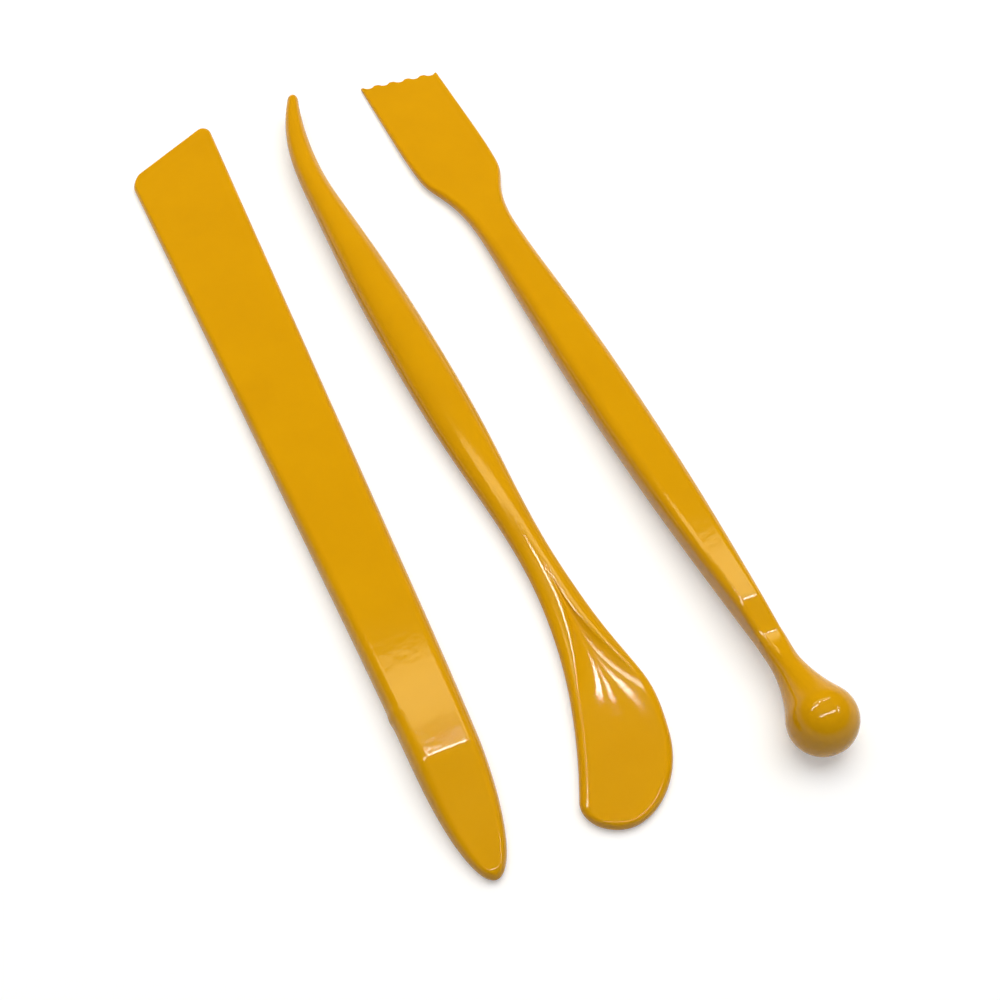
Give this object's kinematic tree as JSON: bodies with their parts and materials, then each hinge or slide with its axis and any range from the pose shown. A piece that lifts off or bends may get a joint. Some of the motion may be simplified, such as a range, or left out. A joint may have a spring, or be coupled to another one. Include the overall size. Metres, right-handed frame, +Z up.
{
  "type": "modelling tool set",
  "caption": "Set of solid moulded plastic hand tools: a flat skew-ended knife, a hooked pick with a dished paddle, and a toothed scraper with a ball end.",
  "frame": {"origin": "on the table, under the middle of the three tools", "axes": "+Y along the tools, from the nose, paddle and ball to the skew edge, hook and teeth; +X to the right; +Z up from the table"},
  "size_m": [0.0658, 0.1688, 0.0102],
  "materials": {
    "knife_plastic": "glossy injection-moulded yellow",
    "pick_plastic": "glossy injection-moulded yellow",
    "scraper_plastic": "glossy injection-moulded yellow"
  },
  "bodies": {
    "knife": {"skew_knife": "knife_plastic"},
    "pick": {"hooked_pick": "pick_plastic"},
    "scraper": {"toothed_scraper": "scraper_plastic"}
  },
  "joints": [
    {"name": "lift_pick", "type": "slide", "parent": "knife", "child": "pick", "axis": [0, 0, 1], "range_m": [0, 0.06]},
    {"name": "lift_scraper", "type": "slide", "parent": "knife", "child": "scraper", "axis": [0, 0, 1], "range_m": [0, 0.06]}
  ]
}
